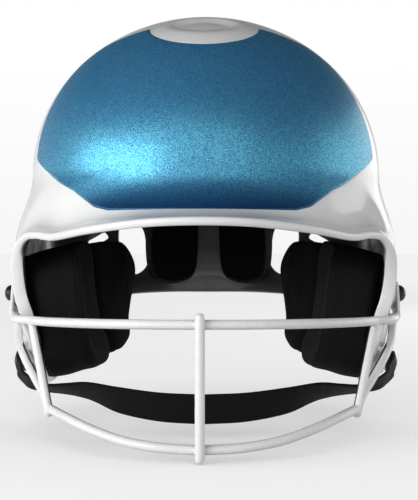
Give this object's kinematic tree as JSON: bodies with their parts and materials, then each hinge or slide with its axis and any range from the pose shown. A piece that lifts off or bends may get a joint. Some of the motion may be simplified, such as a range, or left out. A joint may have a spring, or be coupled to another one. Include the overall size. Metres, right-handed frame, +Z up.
{
  "type": "softball batting helmet",
  "caption": "Softball batting helmet with peak, ear flaps, coloured crown panel, padded inside, screwed wire face guard and chin strap held by press studs.",
  "frame": {"origin": "middle of the head, at eye level: 2 mm in front of the dome's middle and 45 mm below its widest level", "axes": "+X to the wearer's left, face towards -Y, +Z up, in the pose in which it is worn"},
  "size_m": [0.2318, 0.2744, 0.2428],
  "materials": {
    "gloss_white": "gloss white moulded plastic",
    "metallic_blue": "satin blue paint with fine metal flake",
    "coated_wire": "white coated steel wire, matte black on the side that faces the player",
    "black_steel": "black coated screws",
    "plated_steel": "plated steel",
    "pad_foam": "black knitted cover on foam",
    "webbing": "black woven webbing",
    "snap_black": "black enamelled press stud"
  },
  "bodies": {
    "helmet": {"shell": "gloss_white", "crown_panel": "metallic_blue", "guard_top_bar": "coated_wire", "guard_bottom_bar": "coated_wire", "guard_centre_bar": "coated_wire", "guard_upright_left": "coated_wire", "guard_upright_right": "coated_wire", "guard_loop_left": "coated_wire", "guard_loop_right": "coated_wire", "guard_tab_left": "coated_wire", "guard_tab_right": "coated_wire", "guard_screws": "black_steel", "guard_nuts": "plated_steel", "brow_pad": "pad_foam", "crown_pad": "pad_foam", "rear_pad_left": "pad_foam", "rear_pad_right": "pad_foam", "jaw_pad_left": "pad_foam", "jaw_pad_right": "pad_foam", "ear_pad_left": "pad_foam", "ear_pad_right": "pad_foam", "snap_studs": "plated_steel"},
    "strap": {"chin_strap": "webbing", "snap_sockets": "snap_black", "snap_caps": "snap_black"}
  },
  "joints": [
    {"name": "strap_swing", "type": "hinge", "parent": "helmet", "child": "strap", "pos_m": [0, -0.02, -0.066], "axis": [1, 0, 0], "range_deg": [0, 70]}
  ]
}
